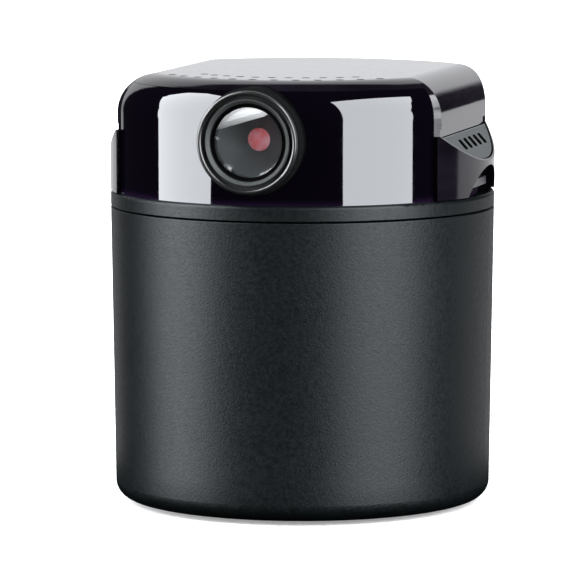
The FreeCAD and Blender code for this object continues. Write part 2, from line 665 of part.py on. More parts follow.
def memory_card():
    length, width, thickness = CARD
    card = block(CARD_OUT_X - length, CARD_OUT_X, -width / 2, width / 2, CARD_Z, CARD_Z + thickness)
    card = card.makeFillet(0.7, [e for e in card.Edges if e.BoundBox.ZLength > thickness / 2])
    step = block(0, CARD_OUT_X - 5.5, width / 2 - 1.3, width, CARD_Z - 1, CARD_Z + 2)
    top_z = CARD_Z + thickness
    finger_rib = block(CARD_OUT_X - 1.5, CARD_OUT_X - 0.9, -3.5, 3.5, top_z - 0.2, top_z)
    return drilled(card, [step, finger_rib])


# ---- turning head: lens -----------------------------------------------------
def lens_bezel():
    """Round-edged rim with a sunk inner step, and a wider bead where it meets the window."""
    r = LENS_RIM_R
    proud = LENS_PROUD
    step_r = r - 0.6
    bezel = turned_about_lens([(step_r, 0.0), (r, 0.0), (r, proud - 0.5), (BEAD_R - 0.1, proud - 0.4),
                               (BEAD_R, proud - 0.2), (BEAD_R, BEZEL_END_Y - RIM_Y),
                               (BEZEL_BORE_R, BEZEL_END_Y - RIM_Y), (BEZEL_BORE_R, 0.6), (step_r, 0.6)])
    rim_edges = [e for e in bezel.Edges if e.BoundBox.YMax < RIM_Y + 1e-3]
    return bezel.makeFillet(0.28, rim_edges)


def lens_trim_ring():
    """Sloping ring that holds the front glass inside the bezel."""
    lip_r = GLASS_R + GAP
    return turned_about_lens([(TRIM_R, 0.3), (TRIM_R - 0.12, 0.18), (TRIM_INNER_R + 0.1, 0.62),
                              (TRIM_INNER_R, 0.75), (TRIM_INNER_R, 1.1), (lip_r, 1.1), (lip_r, 2.6),
                              (TRIM_R, 2.6)])


def spherical_lens(radius, front_y, edge_t, front_bulge, rear_bulge):
    """A round lens: flat rim of thickness edge_t, and two crowned faces."""
    rim = lens_cylinder(radius, front_y, front_y + edge_t)
    lens = rim
    for bulge, face_y, outward in ((front_bulge, front_y, -1), (rear_bulge, front_y + edge_t, 1)):
        if bulge:
            ball_r = (radius ** 2 + bulge ** 2) / (2 * abs(bulge))
            if bulge > 0:
                centre = face_y - outward * (ball_r - bulge)
                cap = Part.makeSphere(ball_r, vec(0, centre, LENS_Z))
                keep = lens_cylinder(radius, min(face_y, face_y + outward * 2 * bulge),
                                     max(face_y, face_y + outward * 2 * bulge))
                lens = lens.fuse(cap.common(keep))
            else:
                centre = face_y + outward * (ball_r + bulge)
                lens = lens.cut(Part.makeSphere(ball_r, vec(0, centre, LENS_Z)))
    return lens.removeSplitter()


def lens_front_glass():
    return spherical_lens(GLASS_R, RIM_Y + GLASS_DEPTH, 1.2, 0.55, -0.5)


BARREL_Y = RIM_Y + 2.75
BARREL_END_Y = SENSOR_BOARD_Y - 3.2
BARREL_R = 5.4
PUPIL_DEPTH = 3.2           # behind the barrel's front edge
INNER_LENS_R = 2.25
REAR_LENS_R = 2.95


def lens_barrel():
    """Black barrel: a cone narrows to the pupil, with the inner and rear lens seats behind it."""
    length = BARREL_END_Y - BARREL_Y
    seat_depth = PUPIL_DEPTH + 0.2
    inner_seat_r = INNER_LENS_R + GAP
    rear_seat_r = REAR_LENS_R + GAP
    profile = [(BARREL_R, 0.0), (BARREL_R, length), (rear_seat_r, length), (rear_seat_r, 6.2),
               (inner_seat_r, 6.2), (inner_seat_r, seat_depth), (PUPIL_R, seat_depth),
               (PUPIL_R, PUPIL_DEPTH), (GLASS_R - 0.1, 0.0)]
    return turned_about_lens([(radius, along + BARREL_Y - RIM_Y) for radius, along in profile])


def inner_lens():
    return spherical_lens(INNER_LENS_R, BARREL_Y + PUPIL_DEPTH + 0.55, 0.7, 0.3, 0)


def aperture_stop():
    return lens_tube(INNER_LENS_R, 0.7, BARREL_Y + 4.7, BARREL_Y + 4.9)


def rear_lens():
    return spherical_lens(REAR_LENS_R, BARREL_Y + 6.6, 0.8, 0.3, 0.4)


def lens_holder():
    """Square foot and sleeve that carry the barrel on the sensor board."""
    foot = block(-6.8, 6.8, SENSOR_BOARD_Y - 3.0, SENSOR_BOARD_Y, LENS_Z - 6.3, LENS_Z + 5.5)
    sleeve = lens_cylinder(BARREL_R + 0.7, BARREL_Y + 3.4, SENSOR_BOARD_Y - 2)
    body = joined([foot, sleeve.common(block(-FAR, FAR, -FAR, FAR, 0, ROOF_UNDER_Z - 0.7))])
    bore = lens_cylinder(BARREL_R + GAP, -FAR, BARREL_END_Y)
    light_path = block(-3.2, 3.2, SENSOR_BOARD_Y - 4, SENSOR_BOARD_Y + 1, LENS_Z - 3.2, LENS_Z + 3.2)
    return drilled(body, [bore, light_path])


def infrared_filter():
    return block(-3.1, 3.1, SENSOR_BOARD_Y - 2.2, SENSOR_BOARD_Y - 1.8, LENS_Z - 3.1, LENS_Z + 3.1)


def image_sensor():
    return block(-2.9, 2.9, SENSOR_BOARD_Y - 0.9, SENSOR_BOARD_Y, LENS_Z - 2.6, LENS_Z + 2.6)


def sensor_board():
    board = block(-9.0, 9.0, SENSOR_BOARD_Y, SENSOR_BOARD_Y + 0.8, BOARD_TOP_Z + 0.4, LENS_Z + 5.2)
    chip = block(-7.5, -4.5, SENSOR_BOARD_Y + 0.8, SENSOR_BOARD_Y + 1.6, LENS_Z + 1, LENS_Z + 4)
    connector = block(2.0, 7.0, SENSOR_BOARD_Y + 0.8, SENSOR_BOARD_Y + 1.8, LENS_Z + 1.5, LENS_Z + 3.5)
    return joined([board, chip, connector])


def ribbon_cable():
    """Flat flexible cable: back from the sensor board and down to the main board."""
    top_z = LENS_Z + 2.5
    start_y = SENSOR_BOARD_Y + 1.8
    bend_r = 2.0
    half_t = 0.1
    end_y = start_y + bend_r + half_t

    def flat(offset):
        sweep = bend_r + offset
        lean = sweep * math.sqrt(0.5)
        corner_z = top_z - bend_r
        arc_start = vec(1.8, start_y, corner_z + sweep)
        arc_mid = vec(1.8, start_y + lean, corner_z + lean)
        arc_end = vec(1.8, start_y + sweep, corner_z)
        return arc_start, arc_mid, arc_end

    inner = flat(-half_t)
    outer = flat(half_t)
    foot_z = BOARD_TOP_Z + 1.0
    inner_foot = vec(1.8, inner[2].y, foot_z)
    outer_foot = vec(1.8, outer[2].y, foot_z)
    edges = [corner_arc(*outer), line(outer[2], outer_foot), line(outer_foot, inner_foot),
             line(inner_foot, inner[2]), corner_arc(*inner[::-1]), line(inner[0], outer[0])]
    strip = outline_prism(edges, X_AXIS * 4.4)
    socket = block(1.5, 6.5, end_y - 1.6, end_y + 1.2, BOARD_TOP_Z, foot_z)
    return joined([strip, socket])


# ---- turning head: boards and electronics ------------------------------------
def main_board():
    disc = cylinder(BOARD_R, BOARD_Z, BOARD_TOP_Z)
    board = disc.cut(block(-FAR, FAR, -FAR, BOARD_FRONT_Y, 0, FAR + R))
    holes = [cylinder(1.0, 0, FAR + R, x, y) for x, y in BOARD_POST_PLACES]
    notches = [cylinder(2.9, 0, FAR + R, x, y) for x, y in ring_places(COVER_BOSS_R, COVER_BOSS_ANGLES)]
    return drilled(board, holes + notches)


def board_screws():
    return Part.makeCompound([pan_screw(x, y, BOARD_TOP_Z, 1.3) for x, y in BOARD_POST_PLACES])


def processor():
    return centred_block(-4.5, 4.0, BOARD_TOP_Z, 11.0, 11.0, 1.1)


def heat_spreader():
    z = BOARD_TOP_Z + 1.1
    plate = centred_block(-4.5, 4.0, z, 12.0, 12.0, 1.0)
    fins = [centred_block(-4.5 + step * 2.2, 4.0, z + 1.0, 0.8, 12.0, 2.2) for step in (-2, -1, 0, 1, 2)]
    return joined([plate] + fins)


def wireless_module():
    z = BOARD_TOP_Z
    can = centred_block(5.5, 13.4, z, 7.0, 6.0, 1.9)
    return can.makeFillet(0.4, [e for e in can.Edges if e.BoundBox.ZLength < 0.1 and e.BoundBox.ZMin > z + 1])


def antenna_strip():
    return sector(WINDOW_R_IN - 0.2, WINDOW_R_IN - 0.5, COLLAR_TOP_Z + 10.0, COLLAR_TOP_Z + 12.6, 90, 30)


def microphone():
    return centred_block(-12.5, -4.5, BOARD_TOP_Z, 3.8, 3.0, 1.1)


SPEAKER_Y = 7.0
SPEAKER_R = 8.0


def speaker_frame():
    top = ROOF_UNDER_Z - 0.6
    pan = tube(SPEAKER_R, SPEAKER_R - 0.8, top - 2.0, top, 0, SPEAKER_Y)
    back = cylinder(SPEAKER_R, top - 2.4, top - 2.0, 0, SPEAKER_Y)
    magnet = cylinder(4.6, top - 4.2, top - 2.4, 0, SPEAKER_Y)
    return joined([pan, back, magnet])


def speaker_cone():
    top = ROOF_UNDER_Z - 0.6
    disc = cylinder(SPEAKER_R - 0.9, top - 0.9, top - 0.6, 0, SPEAKER_Y)
    dome = Part.makeSphere(6.0, vec(0, SPEAKER_Y, top - 6.2)).common(
        cylinder(4.0, top - 0.8, top, 0, SPEAKER_Y))
    return joined([disc, dome])


def speaker_gasket():
    top = ROOF_UNDER_Z
    return tube(SPEAKER_R, SPEAKER_R - 1.4, top - 0.6, top, 0, SPEAKER_Y)


def sound_mesh():
    mesh = sector(0.795 * R, 0.54 * R, ROOF_UNDER_Z - GAP - 0.3, ROOF_UNDER_Z - GAP, 270, 52)
    boss_holes = [cylinder(2.6, 0, FAR + R, x, y) for x, y in ring_places(COVER_BOSS_R, COVER_BOSS_ANGLES)]
    return drilled(mesh, boss_holes)


LAMP_X = (9.9, 13.6)
LAMP_ROWS = (LENS_Z - 2.6, LENS_Z + 2.6)
LAMP_BOARD_Y = -14.0


def lamp_board(side):
    x0, x1 = sorted((side * 8.0, side * 15.6))
    board = block(x0, x1, LAMP_BOARD_Y, LAMP_BOARD_Y + 0.8, BOARD_TOP_Z + 0.6, LENS_Z + 4.8)
    return board


def infrared_lamps(side):
    lamps = []
    for x in LAMP_X:
        for z in LAMP_ROWS:
            body = lens_cylinder(1.25, LAMP_BOARD_Y - 1.6, LAMP_BOARD_Y, side * x, z)
            dome = Part.makeSphere(1.25, vec(side * x, LAMP_BOARD_Y - 1.6, z))
            flange = lens_cylinder(1.55, LAMP_BOARD_Y - 0.5, LAMP_BOARD_Y, side * x, z)
            lamps.append(joined([body, dome, flange]))
    return Part.makeCompound(lamps)


BUTTON_BOARD_Y = 18.2


def button_board():
    board = block(-4.0, 9.0, BUTTON_BOARD_Y, BUTTON_BOARD_Y + 0.8, BOARD_TOP_Z + 1.0, BUTTON_Z + 2.6)
    return board


def button_switch():
    y = BUTTON_BOARD_Y + 0.8
    case = block(-2.25, 2.25, y, y + 1.2, BUTTON_Z - 2.25, BUTTON_Z + 2.25)
    plunger = lens_cylinder(1.0, y + 1.2, y + 1.6, 0, BUTTON_Z)
    return joined([case, plunger])


def power_button():
    """Round cap in the rear wall, with a flange inside and a stem to the switch."""
    outer = lens_cylinder(BUTTON_R, WINDOW_R_IN - 0.4, COVER_R + BUTTON_PROUD, 0, BUTTON_Z)
    crown = [e for e in outer.Edges if abs(e.BoundBox.YMin - COVER_R - BUTTON_PROUD) < 1e-4]
    outer = outer.makeFillet(0.3, crown)
    flange = lens_cylinder(BUTTON_R + 0.7, WINDOW_R_IN - 1.5, WINDOW_R_IN - 0.4, 0, BUTTON_Z)
    stem = lens_cylinder(0.9, BUTTON_BOARD_Y + 2.95, WINDOW_R_IN - 1.0, 0, BUTTON_Z)
    return joined([outer, flange, stem])


def status_light():
    """Small lamp and the clear rod that carries its light to the rear wall."""
    rod_x = 7.0
    lamp_y = BUTTON_BOARD_Y + 0.8
    rod = lens_cylinder(0.6, lamp_y + 1.0, math.sqrt(COVER_R ** 2 - rod_x ** 2) - 0.1, rod_x, BUTTON_Z)
    lamp = block(rod_x - 0.8, rod_x + 0.8, lamp_y, lamp_y + 1.0, BUTTON_Z - 0.5, BUTTON_Z + 0.5)
    return joined([rod, lamp])


def battery_lead():
    """Twisted lead up the swivel's axis, from the battery plug to the main board."""
    return cylinder(1.2, BATTERY_BOARD_Z + 2.9, BOARD_Z)


NODES = {
    "foot_pad": foot_pad,
    "body_shell": body_shell,
    "base_magnet": base_magnet,
    "battery_cradle": battery_cradle,
    "cradle_screws": cradle_screws,
    "battery_cell_front": lambda: battery_cell(-1),
    "battery_cell_rear": lambda: battery_cell(1),
    "battery_foam": battery_foam,
    "battery_board": battery_board,
    "battery_plug": battery_plug,
    "swivel_deck": swivel_deck,
    "deck_screws": deck_screws,
    "glide_ring": glide_ring,
    "head_chassis": head_chassis,
    "neck_clip_ring": neck_clip_ring,
    "wave_washer": wave_washer,
    "collar_ring": collar_ring,
    "front_window": front_window,
    "top_cover": top_cover,
    "cover_screws": cover_screws,
    "vent_panel_left": lambda: vent_panel(-1),
    "vent_panel_right": lambda: vent_panel(1),
    "usb_port_frame": usb_port_frame,
    "usb_socket": usb_socket,
    "usb_tongue": usb_tongue,
    "card_port_frame": card_port_frame,
    "card_socket": card_socket,
    "memory_card": memory_card,
    "lens_bezel": lens_bezel,
    "lens_trim_ring": lens_trim_ring,
    "lens_front_glass": lens_front_glass,
    "lens_barrel": lens_barrel,
    "inner_lens": inner_lens,
    "aperture_stop": aperture_stop,
    "rear_lens": rear_lens,
    "lens_holder": lens_holder,
    "infrared_filter": infrared_filter,
    "image_sensor": image_sensor,
    "sensor_board": sensor_board,
    "ribbon_cable": ribbon_cable,
    "main_board": main_board,
    "board_screws": board_screws,
    "processor": processor,
    "heat_spreader": heat_spreader,
    "wireless_module": wireless_module,
    "antenna_strip": antenna_strip,
    "microphone": microphone,
    "speaker_frame": speaker_frame,
    "speaker_cone": speaker_cone,
    "speaker_gasket": speaker_gasket,
    "sound_mesh": sound_mesh,
    "lamp_board_left": lambda: lamp_board(-1),
    "lamp_board_right": lambda: lamp_board(1),
    "infrared_lamps_left": lambda: infrared_lamps(-1),
    "infrared_lamps_right": lambda: infrared_lamps(1),
    "button_board": button_board,
    "button_switch": button_switch,
    "power_button": power_button,
    "status_light": status_light,
    "battery_lead": battery_lead,
}


def build():
    os.makedirs("parts", exist_ok=True)
    for name, make in NODES.items():
        shape = make()
        shape.exportStep("parts/" + name + ".step")
        box = shape.BoundBox
        print(f"{name:22s} solids {len(shape.Solids)} valid {shape.isValid()} volume {shape.Volume:9.2f} "
              f"z {box.ZMin:6.2f} to {box.ZMax:6.2f}")


build()
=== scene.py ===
import json
import math

import bpy
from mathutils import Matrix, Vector


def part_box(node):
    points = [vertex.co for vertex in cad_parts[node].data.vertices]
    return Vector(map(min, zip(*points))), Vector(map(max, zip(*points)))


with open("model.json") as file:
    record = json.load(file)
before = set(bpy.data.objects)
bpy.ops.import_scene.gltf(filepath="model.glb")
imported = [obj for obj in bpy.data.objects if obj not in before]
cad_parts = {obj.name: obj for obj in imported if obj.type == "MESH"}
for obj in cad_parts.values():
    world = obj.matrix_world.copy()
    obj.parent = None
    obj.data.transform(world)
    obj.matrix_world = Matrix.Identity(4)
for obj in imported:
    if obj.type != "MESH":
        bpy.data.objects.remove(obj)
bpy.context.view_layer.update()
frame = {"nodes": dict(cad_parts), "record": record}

# Looks, stage, lights and camera for the dash camera. Metres, in the frame of
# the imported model: +Z up, origin under the foot pad, lens towards -Y.

NODES = frame["nodes"]
MM = 0.001
UP = (0.0, 0.0, 1.0)

# ---- sizes and places read from the frame ----------------------------------------
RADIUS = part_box("body_shell")[1].x
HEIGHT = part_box("top_cover")[1].z
WINDOW_FOOT_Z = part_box("front_window")[0].z
BEZEL_LOW, BEZEL_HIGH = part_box("lens_bezel")
BEZEL_FRONT_Y = BEZEL_LOW.y
LENS_Z = (BEZEL_LOW.z + BEZEL_HIGH.z) / 2
GLASS_LOW, GLASS_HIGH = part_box("lens_front_glass")
GLASS_RADIUS = (GLASS_HIGH.x - GLASS_LOW.x) / 2
TRIM_STEP_R = GLASS_RADIUS + 0.5 * MM           # the painted shade on the trim ring's recessed step ends here

# The vent panels slope down from the flat cheeks: this is the way they face.
LEAF_SLOPE = math.radians(42.0)
LEAF_NORMAL = (math.cos(LEAF_SLOPE), 0.0, math.sin(LEAF_SLOPE))

# ---- the view ----------------------------------------------------------------------
VIEW_AZIMUTH = 15.2                             # degrees, from the lens towards the card port
VIEW_DISTANCE = 25.2 * RADIUS
VIEW_HEIGHT = 4.01 * RADIUS
AIM_HEIGHT = 0.492 * HEIGHT
FOCAL_LENGTH = 303.0                            # in mm, as is the sensor's width
SENSOR_WIDTH = 36.0
FRAME_SHIFT_X = -0.0253                         # share of the frame's width
NEAREST_SEEN = 0.01

# ---- the floor -----------------------------------------------------------------------
FLOOR_REACH = 12.0
FLOOR_GLOW = 0.28                               # keeps the paper white where little light falls
FLOOR_LIGHT_WIDTH = 1.6
FLOOR_LIGHT_POWER = 30.0
FLOOR_LIGHT_PLACE = (0.2, -0.2, 1.6)
# A black card lies under the floor, round the foot.
CARD_RADIUS = 1.9 * RADIUS
CARD_DEPTH = 0.1 * MM
CARD_SIDES = 48

# ---- the room, as the gloss shows it -------------------------------------------------
# Azimuths are in degrees, counted from the lens towards the card port.
WALL_BEGINS = 172.0                             # a white wall stands behind the object
WALL_ENDS = 231.0
GROUND_BEGINS = 121.0                           # white ground, which ends where the wall ends
AZIMUTH_SOFTNESS = 0.03
WALL_TOP = 0.74                                 # sines of the angle above the horizon
WALL_TOP_SOFTNESS = 0.02
HORIZON_SOFTNESS = 0.02
ROOM_DARK = (0.012, 0.012, 0.014)
WALL_WHITE = (1.0, 1.01, 1.04)
BACKDROP_WHITE = (1.0, 1.0, 1.0)

# ---- the softboxes -------------------------------------------------------------------
# Each outline lists (right, up) corners as shares of the panel's distance, counted from the
# point straight ahead of the object's foot. Right is towards larger azimuths. The two large
# panels reach below the table, which shows as a sheen low on the body.
PANEL_DISTANCE = 3.0
PANEL_TINT = (0.95, 0.97, 1.0)
PANEL_FOOT = -0.21
INNER_EDGE = 0.372                              # the edge of each large panel nearer to the lens
LEFT_AZIMUTH = -63.0
LEFT_GLOW = 12.0
LEFT_PANEL = [
    (INNER_EDGE, PANEL_FOOT),
    (-0.356, PANEL_FOOT),
    (-0.40, 0.28),
    (-0.70, 0.81),
    (-0.72, 1.40),
    (-0.50, 1.64),
    (INNER_EDGE, 1.64),
]
RIGHT_AZIMUTH = 60.0
RIGHT_GLOW = 11.0
RIGHT_PANEL = [
    (-INNER_EDGE, PANEL_FOOT),
    (0.468, PANEL_FOOT),
    (0.52, 0.40),
    (0.71, 0.84),
    (1.28, 1.77),
    (-INNER_EDGE, 1.62),
]
# The small panel gives the half-moon on the lens glass. Its glow rises between two heights.
MOON_AZIMUTH = -21.5
MOON_GLOW = 13.0
MOON_EDGE = 0.394
MOON_PANEL = [(-MOON_EDGE, 0.068), (MOON_EDGE, 0.335), (MOON_EDGE, 0.67), (-MOON_EDGE, 0.67)]
MOON_FADE = (-0.05, 0.5)

# Nearly all of a noise's values lie between these two.
NOISE_LOW = 0.3
NOISE_HIGH = 0.7


# ---- node helpers --------------------------------------------------------------------
class Nodes:
    """A node tree under construction, with short calls for the nodes it uses."""

    def __init__(self, owner, space="Object"):
        owner.use_nodes = True
        self.tree = owner.node_tree
        self.tree.nodes.clear()
        self.coords = self.node("TexCoord").outputs[space]

    def link(self, source, target):
        self.tree.links.new(source, target)

    def feed(self, socket, value):
        """Gives a socket a number, a vector, a colour or another node's output."""
        if isinstance(value, bpy.types.NodeSocket):
            self.link(value, socket)
        elif socket.type == "RGBA":
            socket.default_value = (*value, 1.0)
        else:
            socket.default_value = value

    def set_inputs(self, node, inputs):
        """Feeds sockets by name: from_min=... is the one called From Min."""
        for name, value in inputs.items():
            self.feed(node.inputs[name.replace("_", " ").title().replace("Ior", "IOR")], value)

    def node(self, kind, **inputs):
        node = self.tree.nodes.new("ShaderNode" + kind)
        self.set_inputs(node, inputs)
        return node

    def ranged(self, value, low, high, to_low, to_high, smooth=False):
        """Turns values from low to high into values from to_low to to_high."""
        node = self.node("MapRange", value=value, from_min=low, from_max=high, to_min=to_low, to_max=to_high)
        if smooth:
            node.interpolation_type = "SMOOTHSTEP"
        return node.outputs["Result"]

    def calc(self, operation, *values):
        node = self.node("Math")
        node.operation = operation
        for socket, value in zip(node.inputs, values):
            self.feed(socket, value)
        return node.outputs["Value"]

    def weighted_sum(self, *weighted):
        """Adds up (value, weight) pairs."""
        total, *others = [self.calc("MULTIPLY", value, weight) for value, weight in weighted]
        for part in others:
            total = self.calc("ADD", total, part)
        return total

    def dot(self, a, b):
        node = self.node("VectorMath")
        node.operation = "DOT_PRODUCT"
        self.feed(node.inputs[0], a)
        self.feed(node.inputs[1], b)
        return node.outputs["Value"]

    def axis(self, name):
        return self.node("SeparateXYZ", vector=self.coords).outputs[name]

    def blend(self, factor, first, second):
        """Colour that goes from first to second as factor goes from 0 to 1."""
        node = self.tree.nodes.new("ShaderNodeMix")
        node.data_type = "RGBA"
        self.link(factor, node.inputs["Factor"])
        for colour, socket in zip((first, second), [end for end in node.inputs if end.type == "RGBA"]):
            self.feed(socket, colour)
        return next(end for end in node.outputs if end.type == "RGBA")


class Shader(Nodes):
    """A material round one principled shader."""

    def __init__(self, name):
        self.material = bpy.data.materials.new(name)
        super().__init__(self.material)
        self.bsdf = self.node("BsdfPrincipled")
        self.link(self.bsdf.outputs["BSDF"], self.node("OutputMaterial").inputs["Surface"])

    def set(self, **inputs):
        """Sets the principled shader's own sockets: base_color=..., roughness=..."""
        self.set_inputs(self.bsdf, inputs)

    def stretched(self, x, y, z):
        """Coordinates that make a pattern finer along an axis of a large factor."""
        return self.node("Mapping", vector=self.coords, scale=(x, y, z)).outputs["Vector"]

    def noise(self, size, detail=3.0, rough=0.5, vector=None):
        """Noise whose features are about size metres across."""
        place = vector or self.coords
        node = self.node("TexNoise", vector=place, scale=1.0 / size, detail=detail, roughness=rough)
        return node.outputs["Fac"]

    def cells(self, size, feature="F1"):
        """Cells about size metres across: the distance from their middles, or from their edges."""
        node = self.node("TexVoronoi")
        node.feature = feature
        self.set_inputs(node, {"vector": self.coords, "scale": 1.0 / size})
        return node.outputs["Distance"]

    def spread(self, noise, to_low, to_high):
        """A noise spread over a range of its own."""
        return self.ranged(noise, NOISE_LOW, NOISE_HIGH, to_low, to_high)

    def tones(self, value, dark, light, low=0.35, high=0.65):
        """Colour that goes from dark to light as value goes from low to high."""
        return self.blend(self.ranged(value, low, high, 0.0, 1.0), dark, light)

    def edge_wear(self, width):
        """About 1 on exposed edges and 0 on flat faces."""
        rounded = self.node("Bevel", radius=width)
        rounded.samples = 4
        flat = self.node("NewGeometry").outputs["Normal"]
        return self.ranged(self.dot(rounded.outputs["Normal"], flat), 0.995, 0.9, 0.0, 1.0)

    def facing(self, way, none=0.9, full=0.96):
        """1 on faces that look along way or its mirror images, and 0 on the others."""
        folded = self.node("VectorMath")
        folded.operation = "ABSOLUTE"
        self.link(self.node("TexCoord").outputs["Normal"], folded.inputs[0])
        return self.ranged(self.dot(folded.outputs["Vector"], way), none, full, 0.0, 1.0)

    def grazing(self):
        """0 on a surface seen square on, 1 on one seen edge on."""
        return self.node("LayerWeight", blend=0.5).outputs["Facing"]

    def lens_radius(self):
        """Distance from the lens axis."""
        x = self.axis("X")
        z = self.calc("SUBTRACT", self.axis("Z"), LENS_Z)
        return self.calc("SQRT", self.calc("ADD", self.calc("MULTIPLY", x, x), self.calc("MULTIPLY", z, z)))

    def turning_marks(self, pitch):
        """0 to 1 rings round the lens axis, broken up by noise."""
        jitter = self.calc("MULTIPLY", self.noise(0.5 * MM, detail=2.0), 0.6 * pitch)
        turns = self.calc("DIVIDE", self.calc("ADD", self.lens_radius(), jitter), pitch)
        wave = self.calc("SINE", self.calc("MULTIPLY", turns, 2 * math.pi))
        return self.ranged(wave, -1.0, 1.0, 0.0, 1.0)

    def colour(self, socket):
        self.link(socket, self.bsdf.inputs["Base Color"])

    def rough(self, socket):
        self.link(socket, self.bsdf.inputs["Roughness"])

    def specular_level(self, socket):
        self.link(socket, self.bsdf.inputs["Specular IOR Level"])

    def bump(self, height, depth, strength):
        """Surface relief of about depth metres."""
        node = self.node("Bump", strength=strength, distance=depth, height=height)
        self.link(node.outputs["Normal"], self.bsdf.inputs["Normal"])


# ---- materials of the outside --------------------------------------------------------
def body_matte():
    """Dark spray-textured plastic: fine pebbles, and a faint blue-green cast."""
    s = Shader("body_matte")
    mottle = s.noise(0.55 * MM, detail=4.0, rough=0.65)
    drift = s.noise(9 * MM, detail=2.0)
    tone = s.weighted_sum((mottle, 0.7), (drift, 0.3))
    s.colour(s.tones(tone, (0.0008, 0.0014, 0.0016), (0.0026, 0.0038, 0.0042)))
    s.rough(s.spread(mottle, 0.37, 0.48))
    s.set(specular_tint=(0.93, 0.98, 1.0))
    s.specular_level(s.ranged(s.grazing(), 0.25, 0.9, 0.24, 0.03))
    grains = s.noise(0.26 * MM, detail=2.0, rough=0.6)
    pebbles = s.cells(0.3 * MM, "SMOOTH_F1")
    s.bump(s.weighted_sum((grains, 1.0), (pebbles, 0.5)), 0.045 * MM, 0.4)
    return s.material


def window_violet():
    """Very dark violet polycarbonate, polished, with a painted violet glow along its lower edge."""
    s = Shader("window_violet")
    # Painted glow: the colour turns a lighter violet close to the window's foot, standing in for light.
    painted_glow_near_foot = s.ranged(s.axis("Z"), WINDOW_FOOT_Z, WINDOW_FOOT_Z + 1.5 * MM, 1.0, 0.0)
    cloud = s.spread(s.noise(12 * MM, detail=2.0), 0.5, 1.0)
    glow = s.calc("MULTIPLY", s.calc("POWER", painted_glow_near_foot, 2.0), cloud)
    s.colour(s.blend(glow, (0.0009, 0.0005, 0.0016), (0.019, 0.008, 0.032)))
    s.rough(s.spread(s.noise(1.4 * MM), 0.018, 0.04))
    s.set(ior=1.585, specular_tint=(0.96, 0.975, 1.0))
    s.bump(s.noise(16 * MM, detail=1.0), 0.02 * MM, 0.35)
    return s.material


def cover_gloss():
    """Glossy moulded cover: violet-black, with faint flow marks and hairline wipe marks.

    The flat roof keeps its full gloss only where it's seen nearly edge on.
    """
    s = Shader("cover_gloss")
    flow = s.noise(7 * MM, rough=0.55, vector=s.stretched(1.0, 0.35, 1.6))
    s.colour(s.tones(flow, (0.0022, 0.0016, 0.003), (0.005, 0.0038, 0.0065)))
    hairs = s.noise(0.25 * MM, rough=0.6, vector=s.stretched(1.0, 0.06, 1.0))
    s.rough(s.ranged(hairs, 0.3, 0.75, 0.06, 0.13))
    s.set(ior=1.5)
    roof = s.facing(UP, none=0.985, full=0.998)
    roof_loss = s.ranged(s.grazing(), 0.80, 0.92, 0.498, 0.0)
    s.specular_level(s.calc("SUBTRACT", 0.5, s.calc("MULTIPLY", roof, roof_loss)))
    s.bump(flow, 0.012 * MM, 0.3)
    return s.material


def vent_grey():
    """Satin grey moulding with a fine spark-eroded grain.

    Only the sloping face is grey: the walls of its slots get painted shade, near black and without gloss.
    """
    s = Shader("vent_grey")
    grain = s.noise(0.16 * MM, rough=0.6)
    base = s.tones(grain, (0.036, 0.04, 0.041), (0.058, 0.063, 0.064), NOISE_LOW, NOISE_HIGH)
    worn = s.blend(s.edge_wear(0.12 * MM), base, (0.12, 0.125, 0.122))
    # Painted shade: faces that don't look along the panel, the slot walls, turn near black and lose their
    # gloss.
    face_outside_painted_shade = s.facing(LEAF_NORMAL)
    s.colour(s.blend(face_outside_painted_shade, (0.002, 0.002, 0.002), worn))
    s.specular_level(s.ranged(face_outside_painted_shade, 0.0, 1.0, 0.0, 0.3))
    s.rough(s.spread(grain, 0.42, 0.55))
    s.bump(grain, 0.012 * MM, 0.5)
    return s.material


def port_gloss():
    """Glossy violet-black frame of a port, with a cloudy tone."""
    s = Shader("port_gloss")
    cloud = s.noise(3 * MM, detail=2.0)
    s.colour(s.blend(cloud, (0.004, 0.003, 0.006), (0.016, 0.009, 0.022)))
    s.rough(s.spread(s.noise(0.3 * MM), 0.12, 0.24))
    s.bump(cloud, 0.02 * MM, 0.4)
    return s.material


def bezel_black():
    """Turned and anodised lens bezel: dull outside, with a polished front lip."""
    s = Shader("bezel_black")
    marks = s.turning_marks(0.07 * MM)
    base = s.blend(marks, (0.0012, 0.0013, 0.0013), (0.004, 0.0043, 0.0043))
    s.colour(s.blend(s.edge_wear(0.15 * MM), base, (0.02, 0.021, 0.021)))
    lip = s.ranged(s.axis("Y"), BEZEL_FRONT_Y + 0.3 * MM, BEZEL_FRONT_Y + 0.8 * MM, 1.0, 0.0)
    s.rough(s.calc("SUBTRACT", s.ranged(marks, 0.0, 1.0, 0.66, 0.74), s.calc("MULTIPLY", lip, 0.4)))
    s.specular_level(s.ranged(lip, 0.0, 1.0, 0.01, 0.9))
    s.bump(marks, 0.006 * MM, 0.4)
    return s.material


def trim_grey():
    """Turned grey ring round the glass, with painted shade, near black, on the recessed step inside it."""
    s = Shader("trim_grey")
    marks = s.turning_marks(0.09 * MM)
    # Painted shade: inside TRIM_STEP_R the recessed step turns near black and loses most of its gloss.
    face = s.ranged(s.lens_radius(), TRIM_STEP_R, TRIM_STEP_R + 0.12 * MM, 0.0, 1.0)
    grey = s.blend(marks, (0.022, 0.025, 0.024), (0.036, 0.039, 0.038))
    s.colour(s.blend(face, (0.0015, 0.0015, 0.0015), grey))
    s.specular_level(s.ranged(face, 0.0, 1.0, 0.02, 0.3))
    s.rough(s.spread(s.noise(0.3 * MM), 0.5, 0.6))
    s.bump(marks, 0.005 * MM, 0.4)
    return s.material


def lens_glass():
    """Clear coated glass, with a few specks of dust that scatter light."""
    s = Shader("lens_glass")
    s.set(base_color=(0.93, 0.95, 0.95), transmission_weight=1.0, ior=1.52)
    s.set(coat_weight=0.4, coat_roughness=0.02)
    specks = s.cells(0.35 * MM)
    s.rough(s.ranged(specks, 0.05, 0.12, 0.05, 0.012))
    return s.material


